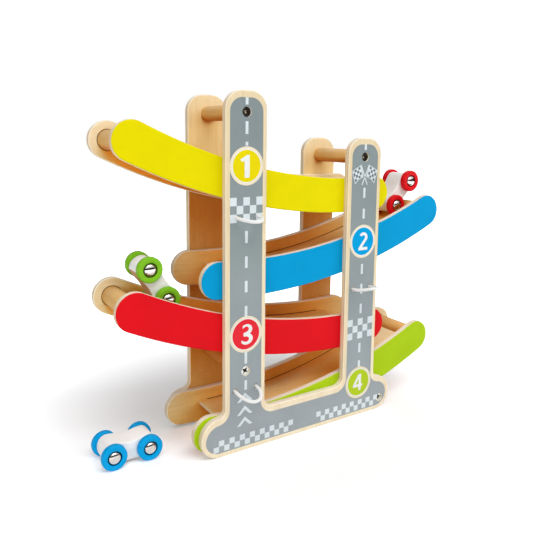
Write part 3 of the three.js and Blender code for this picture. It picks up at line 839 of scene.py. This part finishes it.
SCREW_RECESS = 1.2
SCREW_HEAD_RADIUS = 3.75
SCREW_HEAD_THICKNESS = 1.8
SCREW_SHANK_RADIUS = 1.7
SCREW_CROSS_WIDTH = 1.9
SCREW_CROSS_TIP = 0.8
SCREW_CROSS_LENGTH = 5.4
SCREW_CROSS_DEPTH = 1.0
SCREW_EDGE_ROUND = 0.15
SCREW_UNDERCUT = 0.2
SCREW_POINT = 3.0
# How far each panel's first screw is turned, and how much further each next one, in radians
SCREW_TURNS = {"front": (0.35, 0.9), "back": (0.8, 0.7)}


def cross_outline():
    """A cross whose arms taper from the middle's width to the tips'."""
    a, b, c = SCREW_CROSS_LENGTH / 2, SCREW_CROSS_WIDTH / 2, SCREW_CROSS_TIP / 2
    arm = [(a, -c), (a, c), (b, b)]
    turns = ((1, 0), (0, 1), (-1, 0), (0, -1))
    return [(x * cos - z * sin, x * sin + z * cos) for cos, sin in turns for x, z in arm]


def make_screw(bar, end, turn):
    """A cross-head screw: a head with a cut cross, the cross's floor, and the shank; the cross's floor
    carries a painted glint in the top screws and painted shade in the low ones.
    """
    node = f"{bar}_{end}_screw"
    low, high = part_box(node)
    middle = node_middle(node)
    length = (high.y - low.y) / MM
    head = circle(0.0, 0.0, SCREW_HEAD_RADIUS)
    cap = flat_shape([head, cross_outline()], SCREW_CROSS_DEPTH, SCREW_EDGE_ROUND)
    paint_faces(cap, lambda normal: 0)
    stem = lathe([(0.0, SCREW_CROSS_DEPTH), (SCREW_HEAD_RADIUS - SCREW_UNDERCUT, SCREW_CROSS_DEPTH),
                  (SCREW_SHANK_RADIUS, SCREW_HEAD_THICKNESS), (SCREW_SHANK_RADIUS, length - SCREW_POINT),
                  (0.0, length)], 32)
    paint_faces(stem, lambda normal: 1 if normal.y < -SQUARE_ON else 0)
    joined = bmesh.new()
    joined.from_mesh(cap)
    joined.from_mesh(stem)
    joined.to_mesh(cap)
    joined.free()
    facing = Matrix.Rotation(turn, 4, "Y")
    start = Matrix.Translation((middle.x, SCREW_RECESS, middle.z))
    if end == "back":
        facing = Matrix.Rotation(math.pi, 4, "Z") @ facing
        start = Matrix.Translation((middle.x, DEPTH - SCREW_RECESS, middle.z))
    cap.transform(TO_FRAME @ start @ facing)
    top = bar.startswith("top")
    steels = [DARK_STEEL, CROSS_PAINTED_GLINT] if top else [BRIGHT_STEEL, CROSS_PAINTED_SHADE]
    soften(show("finished_" + node, cap, steels, "track", node))


for index, bar_name in enumerate(CROSSBARS):
    for panel_end, (first_turn, further) in SCREW_TURNS.items():
        make_screw(bar_name, panel_end, first_turn + further * index)


# Ties

def make_tie(node, tie):
    data = bpy.data.curves.new("finished_" + node, "CURVE")
    data.dimensions = "3D"
    data.bevel_depth = TIE_DIAMETER / 2 * MM
    data.bevel_resolution = 4
    data.resolution_u = 8
    data.use_fill_caps = True
    spline = data.splines.new("BEZIER")
    spline.bezier_points.add(len(TIE_ROUTE) - 1)
    for knot, (across, depth, share) in zip(spline.bezier_points, TIE_ROUTE):
        knot.co = TO_FRAME @ Vector((tie["x"] + across, depth, tie["z"] - share * tie["droop"]))
        knot.handle_left_type = knot.handle_right_type = "AUTO"
    data.materials.append(CORD)
    piece = bpy.data.objects.new("finished_" + node, data)
    bpy.context.scene.collection.objects.link(piece)
    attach(piece, "track")
    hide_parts(node)


for tie_name, tie_sizes in TIES.items():
    make_tie(tie_name, tie_sizes)


# Print

def print_y(side, level):
    sunk = PRINT_BED - PRINT_LIFT * level
    return sunk if side < 0 else DEPTH - sunk


MITRE_LIMIT = 0.3


class Marks:
    """Flat printed shapes on a panel's outer face, gathered in one mesh."""

    def __init__(self):
        self.shapes = []

    def shape(self, points):
        self.shapes.append(points)

    def rectangle(self, x, z, width, height):
        a, b = width / 2, height / 2
        self.shape([(x - a, z - b), (x + a, z - b), (x + a, z + b), (x - a, z + b)])

    def stroke(self, points, width):
        """A line of even width through points, with mitred corners."""
        sides = ([], [])
        for i, point in enumerate(points):
            here = Vector(point)
            before = (here - Vector(points[i - 1])).normalized() if i else None
            after = (Vector(points[i + 1]) - here).normalized() if i < len(points) - 1 else None
            along = ((before or after) + (after or before)).normalized()
            across = Vector((-along.y, along.x))
            lean = across.dot(Vector((-(before or after).y, (before or after).x)))
            reach = width / 2 / max(lean, MITRE_LIMIT)
            sides[0].append(here + across * reach)
            sides[1].append(here - across * reach)
        for i in range(len(points) - 1):
            self.shape([sides[0][i], sides[0][i + 1], sides[1][i + 1], sides[1][i]])

    def mesh(self, side, level):
        """side is -1 for the front panel's face and +1 for the back panel's."""
        y = print_y(side, level)
        work = bmesh.new()
        for points in self.shapes:
            face = work.faces.new([work.verts.new((x, y, z)) for x, z in points])
            face.normal_update()
            if face.normal.y * side < 0:
                face.normal_flip()
        mesh = bpy.data.meshes.new("print")
        work.to_mesh(mesh)
        work.free()
        mesh.transform(TO_FRAME)
        return mesh


# The middle line of the road on each upright: dashes as (middle height, length).
LEFT_DASHES = [(282.0, 5.4), (262.0, 9.6), (249.8, 3.0), (177.5, 9.5), (157.5, 9.3), (137.8, 9.3),
               (117.8, 8.5), (79.1, 9.6), (56.2, 8.0)]
RIGHT_DASHES = [(246.8, 4.9), (206.9, 9.0), (188.4, 8.8), (138.4, 9.2), (120.2, 9.0), (101.8, 8.9),
                (64.9, 8.8), (49.7, 6.2)]
DISCS = {
    "1": {"place": (0.0, 232.8), "ramp": "yellow"},
    "2": {"place": (UPRIGHT_SPACING, 163.5), "ramp": "blue"},
    "3": {"place": (0.0, 98.7), "ramp": "red"},
    "4": {"place": (UPRIGHT_SPACING, 31.6), "ramp": "green"},
}
LEFT_CHECKS = (189.3, 208.8)
RIGHT_CHECKS = (73.8, 92.7)
CHEVRON_TIPS = (49.9, 38.8, 29.4)
CHEVRON_MIDDLE = -0.7
CHEVRON_ARM = [(0.0, 0.0), (7.4, -7.5), (4.2, -7.5), (0.0, -3.3)]
FLAG_CROSSING = 220.9
FLAG_CORNERS = [(4.7, 10.1), (14.7, 5.1), (10.8, -5.5), (1.6, -0.3)]
FLAG_SAG = 1.4
FLAG_HEM = 0.12
FLAG_POLE = [(4.7, 10.6), (-3.0, -7.0)]
FLAG_POLE_WIDTH = 1.0
FLAG_EDGE_WIDTH = 0.7
STRIP_SQUARE = 4.8
STRIP_BOTTOM = 5.0
# Each strip of squares: where it starts, how many squares, and the first one's row.
STRIPS = [(-29.3, 16, 0), (72.7, 15, 1)]


def checks(marks, x, low, high, columns=5, rows=3):
    width = (UPRIGHT_WIDTH - 2 * PRINT_INSET) / columns
    height = (high - low) / rows
    for column in range(columns):
        for row in range(rows):
            if (column + row) % 2 == 0:
                middle = x + (column - (columns - 1) / 2) * width
                marks.rectangle(middle, low + (row + 0.5) * height, width, height)


def flag_point(u, v, side):
    """A point of a waving flag: u runs out from the pole, v down along it."""
    a, b, c, d = (Vector(corner) for corner in FLAG_CORNERS)
    flat = a.lerp(b, u).lerp(d.lerp(c, u), v)
    lift = FLAG_SAG * v * math.sin(math.pi * u)
    return (UPRIGHT_SPACING + side * flat.x, FLAG_CROSSING + flat.y + lift)


def flags(marks, dark_marks, squares=4):
    width = (1 - FLAG_HEM) / squares
    for side in (-1, 1):
        pole = [(UPRIGHT_SPACING + side * x, FLAG_CROSSING + z) for x, z in FLAG_POLE]
        marks.stroke(pole, FLAG_POLE_WIDTH)
        marks.shape([flag_point(u, v, side) for u, v in ((0, 0), (FLAG_HEM, 0), (FLAG_HEM, 1), (0, 1))])
        for i in range(squares):
            for j in range(squares):
                corners = [(i, j), (i + 1, j), (i + 1, j + 1), (i, j + 1)]
                square = [flag_point(FLAG_HEM + u * width, v / squares, side) for u, v in corners]
                (marks if (i + j) % 2 else dark_marks).shape(square)
        steps = [i / squares for i in range(squares + 1)]
        edge = [(u, 0) for u in steps] + [(u, 1) for u in reversed(steps)]
        marks.stroke([flag_point(u, v, side) for u, v in edge], FLAG_EDGE_WIDTH)


def road_marks():
    """The white marks, and the dark squares of the flags."""
    marks = Marks()
    dark_marks = Marks()
    for x, dashes in ((0.0, LEFT_DASHES), (UPRIGHT_SPACING, RIGHT_DASHES)):
        for middle, length in dashes:
            marks.rectangle(x, middle, DASH_WIDTH, length)
    checks(marks, 0.0, *LEFT_CHECKS)
    checks(marks, UPRIGHT_SPACING, *RIGHT_CHECKS)
    flags(marks, dark_marks)
    for z in CHEVRON_TIPS:
        for side in (-1, 1):
            marks.shape([(CHEVRON_MIDDLE + side * x, z + drop) for x, drop in CHEVRON_ARM])
    for start, count, first_row in STRIPS:
        for i in range(count):
            row = (i + first_row) % 2
            marks.rectangle(start + (i + 0.5) * STRIP_SQUARE, STRIP_BOTTOM + (row + 0.5) * STRIP_SQUARE,
                            STRIP_SQUARE, STRIP_SQUARE)
    return marks, dark_marks


# Bold numerals about 17 tall round their discs' middles.

def oval(x, z, wide, tall, start, end, steps=18):
    turn = [math.radians(start + (end - start) * i / steps) for i in range(steps + 1)]
    return [(x + wide * math.cos(t), z + tall * math.sin(t)) for t in turn]


def numeral(digit):
    """The numeral's outline, and the outline of its hole where it has one."""
    if digit == "1":
        return [[(-2.0, -8.9), (2.5, -8.9), (2.5, 8.5), (0.3, 8.5), (-5.6, 5.2), (-4.7, 3.3), (-2.0, 3.9)]]
    if digit == "2":
        outside = oval(0.4, 3.6, 4.9, 4.5, 150, -36)
        inside = oval(0.4, 3.6, 2.0, 2.0, -36, 150)
        base = [(-0.9, -5.3), (5.5, -5.3), (5.5, -8.0), (-5.0, -8.0), (-5.0, -5.9)]
        return [outside + base + inside]
    if digit == "3":
        upper = oval(0.5, 3.9, 5.3, 4.4, 128, -45)
        lower = oval(0.6, -3.9, 5.7, 4.7, 60, -138)
        lower_hollow = oval(0.1, -4.0, 2.7, 2.2, -130, 75)
        upper_hollow = oval(0.1, 4.2, 2.5, 2.2, -75, 130)
        tail = [(-4.2, -6.6), (-4.2, -4.5)]
        bar = [(-2.3, -1.4), (-2.3, 1.3)]
        return [upper + lower + tail + lower_hollow + bar + upper_hollow + [(-3.1, 5.1), (-3.1, 7.2)]]
    frame_four = [(3.2, 7.7), (3.2, -1.8), (4.8, -1.8), (4.8, -4.2), (3.1, -4.2), (3.1, -7.7), (0.4, -7.7),
                  (0.4, -4.3), (-6.4, -4.3), (-6.4, -2.1), (-0.1, 7.7)]
    return [frame_four, [(0.3, -1.7), (0.3, 3.8), (-3.0, -1.7)]]


def printed(name, rings, side, level, material):
    """A printed area as a thin sheet, level steps in front of a panel's outer face."""
    mesh = flat_shape(rings)
    if mesh.polygons[0].normal.y * side < 0:
        mesh.flip_normals()
    y = print_y(side, level)
    mesh.transform(TO_FRAME @ Matrix.Translation((0.0, y, 0.0)))
    show(name, mesh, [material], "track")


def make_print(side, label):
    holes = screw_holes() + (tie_holes() if side < 0 else [])
    printed(label + "_road", [road_outline()] + holes, side, 1, ROAD)
    white_marks, dark_marks = road_marks()
    show(label + "_dark_marks", dark_marks.mesh(side, 2), [DARK_PRINT], "track")
    show(label + "_white_marks", white_marks.mesh(side, 3), [WHITE_PRINT], "track")
    for digit, disc in DISCS.items():
        x, z = disc["place"]
        ring = circle(x, z, RING_RADIUS, 64)
        rim = circle(x, z, RIM_RADIUS, 64)
        spot = circle(x, z, DISC_RADIUS, 64)
        figure = [[(x - side * a, z + b) for a, b in points] for points in numeral(digit)]
        printed(f"{label}_ring_{digit}", [ring], side, 3, RING_WOOD)
        printed(f"{label}_rim_{digit}", [rim], side, 4, NUMERAL_PRINT)
        printed(f"{label}_disc_{digit}", [spot], side, 5, DISC_PRINTS[disc["ramp"]])
        printed(f"{label}_numeral_{digit}", figure, side, 6, NUMERAL_PRINT)


make_print(-1, "front")
make_print(1, "back")


# Cars: local x runs from the rear axle to the front axle, local y from the right wheels to the left wheels.

def wheels_middle(car, *wheels):
    boxes = [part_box(f"{car}_{wheel}_wheel") for wheel in wheels]
    return sum(((low + high) / 2 for low, high in boxes), Vector()) / len(boxes)


def car_frame(name):
    front = wheels_middle(name, "front_left", "front_right")
    rear = wheels_middle(name, "rear_left", "rear_right")
    left = wheels_middle(name, "front_left", "rear_left")
    right = wheels_middle(name, "front_right", "rear_right")
    along = (front - rear).normalized()
    across = (left - right).normalized()
    turn = Matrix((along, across, along.cross(across))).transposed().to_4x4()
    return Matrix.Translation(front) @ turn @ Matrix.Scale(MM, 4)


def car_outline():
    """Two oval ends joined by gentle hollows that leave a waist between the axles."""
    half = CAR_BODY_HEIGHT / 2
    hollow = half - CAR_WAIST / 2
    end_steps = 28
    side_steps = 24
    points = []
    for end in (0, 1):
        facing = 1 - 2 * end
        for i in range(end_steps + 1):
            angle = math.pi * (i / end_steps - 0.5)
            x = facing * CAR_END_REACH * math.cos(angle) - end * WHEELBASE
            points.append((x, facing * half * math.sin(angle)))
        for i in range(1, side_steps):
            share = i / side_steps
            drop = hollow * (1 - math.cos(2 * math.pi * share)) / 2
            points.append((-WHEELBASE * (end + facing * share), facing * (half - drop)))
    return without_doubles(points)


def make_car_body(name, to_frame):
    mesh = flat_shape([car_outline()], CAR_BODY_WIDTH, CAR_EDGE_ROUND)
    mesh.transform(Matrix.Translation((0.0, -CAR_BODY_WIDTH / 2, 0.0)))
    paint_faces(mesh, lambda normal: 1 if normal.z < -SQUARE_ON else 0)
    mesh.transform(to_frame)
    soften(show(f"finished_{name}_body", mesh, [CAR_PAINT, CAR_WOOD], name, name + "_body"))


def wheel_profile(inner, outer):
    bore = PIN_RADIUS + RUNNING_GAP
    hub = PIN_HEAD_RADIUS + HUB_GAP
    edge = WHEEL_RADIUS - WHEEL_EDGE_ROUND
    recess = outer - HUB_RECESS_DEPTH
    profile = [(bore, inner), (edge, inner)]
    profile += arc(edge, inner + WHEEL_EDGE_ROUND, WHEEL_EDGE_ROUND, -QUARTER, 0.0, 6)[1:]
    profile += arc(edge, outer - WHEEL_EDGE_ROUND, WHEEL_EDGE_ROUND, 0.0, QUARTER, 6)
    profile += [(hub + HUB_EDGE, outer), (hub, outer - HUB_EDGE), (hub, recess)]
    return profile + [(bore, recess), (bore, inner)]


def pin_profile(seat, tip):
    steps = 10
    turns = [QUARTER * i / steps for i in range(steps)]
    dome = [(PIN_HEAD_RADIUS * math.cos(t), seat + PIN_HEAD_HEIGHT * math.sin(t)) for t in turns]
    return [(0.0, tip), (PIN_RADIUS, tip), (PIN_RADIUS, seat)] + dome + [(0.0, seat + PIN_HEAD_HEIGHT)]


def make_car(name):
    to_frame = car_frame(name)
    make_car_body(name, to_frame)
    wheel_paint = paint(name + "_wheel_paint", WHEEL_PAINTS[name], 0.3, NO_GRAIN, 0.05, coat=0.06)
    # The hub recess takes painted shade: the wheel's paint, darkened.
    recess_shade_colour = shade(WHEEL_PAINTS[name], RECESS_PAINTED_SHADE)
    recess_painted_shade = paint(name + "_recess_painted_shade", recess_shade_colour, 0.5, NO_GRAIN, 0.05)
    inner = CAR_BODY_WIDTH / 2 + WHEEL_SIDE_GAP
    outer = inner + WHEEL_THICKNESS
    recess = outer - HUB_RECESS_DEPTH
    seat = recess + RUNNING_GAP
    hub = PIN_HEAD_RADIUS + HUB_GAP
    for axle, x in (("front", 0.0), ("rear", -WHEELBASE)):
        for side, turn in (("left", 0.0), ("right", math.pi)):
            corner = to_frame @ Matrix.Translation((x, 0.0, 0.0)) @ Matrix.Rotation(turn, 4, "Z")
            node = f"{name}_{axle}_{side}"
            wheel = lathe(wheel_profile(inner, outer), 64)
            for face in wheel.polygons:
                in_hub = math.hypot(face.center.x, face.center.z) < hub
                face.material_index = 1 if in_hub and face.center.y > recess - RECESS_MARGIN else 0
            wheel.transform(corner)
            show(f"finished_{node}_wheel", wheel, [wheel_paint, recess_painted_shade], node + "_wheel",
                 node + "_wheel")
            pin = lathe(pin_profile(seat, CAR_BODY_WIDTH / 2 - PIN_BITE), 48)
            pin.transform(corner)
            show(f"finished_{node}_pin", pin, [CHROME], name, node + "_pin")


for car_name in WHEEL_PAINTS:
    make_car(car_name)


# Studio

def straight_rays(tree):
    """1 for the rays that show the studio's white: from the camera, a reflection or a see-through surface."""
    rays = tree.nodes.new("ShaderNodeLightPath")
    seen = rays.outputs["Is Camera Ray"]
    for kind in ("Is Glossy Ray", "Is Transmission Ray"):
        either = tree.nodes.new("ShaderNodeMath")
        either.operation = "MAXIMUM"
        tree.links.new(seen, either.inputs[0])
        tree.links.new(rays.outputs[kind], either.inputs[1])
        seen = either.outputs["Value"]
    return seen


def make_floor():
    """A pale floor that carries the shadow, and that fades to white far from the track."""
    mesh = bpy.data.meshes.new("floor")
    reach = FLOOR_REACH
    corners = [(-reach, -reach, 0), (reach, -reach, 0), (reach, reach, 0), (-reach, reach, 0)]
    mesh.from_pydata(corners, [], [(0, 1, 2, 3)])
    shader = Shader("floor_white", roughness=0.9, colour=FLOOR_COLOUR)
    distance = shader.add("ShaderNodeVectorMath")
    distance.operation = "LENGTH"
    shader.join(shader.place(), distance.inputs[0])
    fade = shader.add("ShaderNodeMapRange", From_Min=FADE_START, From_Max=FADE_END, To_Min=FLOOR_LIFT)
    fade.interpolation_type = "SMOOTHSTEP"
    shader.join(distance.outputs["Value"], fade.inputs["Value"])
    lift = shader.maths("MULTIPLY", straight_rays(shader.tree), fade.outputs["Result"])
    shader.surface.inputs["Specular IOR Level"].default_value = FLOOR_SHEEN
    shader.surface.inputs["Emission Color"].default_value = (1.0, 1.0, 1.0, 1.0)
    shader.join(lift, shader.surface.inputs["Emission Strength"])
    mesh.materials.append(shader.material)
    floor = bpy.data.objects.new("floor", mesh)
    bpy.context.scene.collection.objects.link(floor)


def make_dark_band():
    """A dark strip of studio wall all round, seen only in reflections."""
    sides = 48
    ring = circle(0.0, 0.0, BAND_RADIUS, sides)
    corners = [(x, y, z) for z in (BAND_BOTTOM, BAND_TOP) for x, y in ring]
    faces = [(i, (i + 1) % sides, sides + (i + 1) % sides, sides + i) for i in range(sides)]
    mesh = bpy.data.meshes.new("dark_band")
    mesh.from_pydata(corners, [], faces)
    mesh.materials.append(Shader("studio_wall", roughness=1.0, colour=BAND_COLOUR).material)
    band = bpy.data.objects.new("dark_band", mesh)
    band.visible_camera = False
    band.visible_diffuse = False
    band.visible_shadow = False
    bpy.context.scene.collection.objects.link(band)


def make_world():
    """Soft light from all round; the camera and shiny surfaces see white."""
    world = bpy.data.worlds.new("studio")
    world.use_nodes = True
    bpy.context.scene.world = world
    tree = world.node_tree
    background = tree.nodes["Background"]
    strength = tree.nodes.new("ShaderNodeMapRange")
    strength.inputs["To Min"].default_value = WORLD_STRENGTH
    strength.inputs["To Max"].default_value = 1.0
    tree.links.new(straight_rays(tree), strength.inputs["Value"])
    background.inputs["Color"].default_value = (1.0, 1.0, 1.0, 1.0)
    tree.links.new(strength.outputs["Result"], background.inputs["Strength"])


def make_light(name, place, width, height, watts, mirrored):
    """A softbox that faces the track; mirrored says whether shiny pieces show it."""
    data = bpy.data.lights.new(name, "AREA")
    data.shape = "RECTANGLE"
    data.size = width
    data.size_y = height
    data.energy = watts
    light = bpy.data.objects.new(name, data)
    light.location = place
    light.visible_glossy = mirrored
    light.rotation_euler = (Vector(LIGHT_TARGET) - Vector(place)).to_track_quat("-Z", "Y").to_euler()
    bpy.context.scene.collection.objects.link(light)


make_floor()
make_dark_band()
make_world()
for light_name, light_sizes in LIGHTS.items():
    make_light(light_name, *light_sizes)

bpy.context.scene.view_settings.view_transform = "Standard"
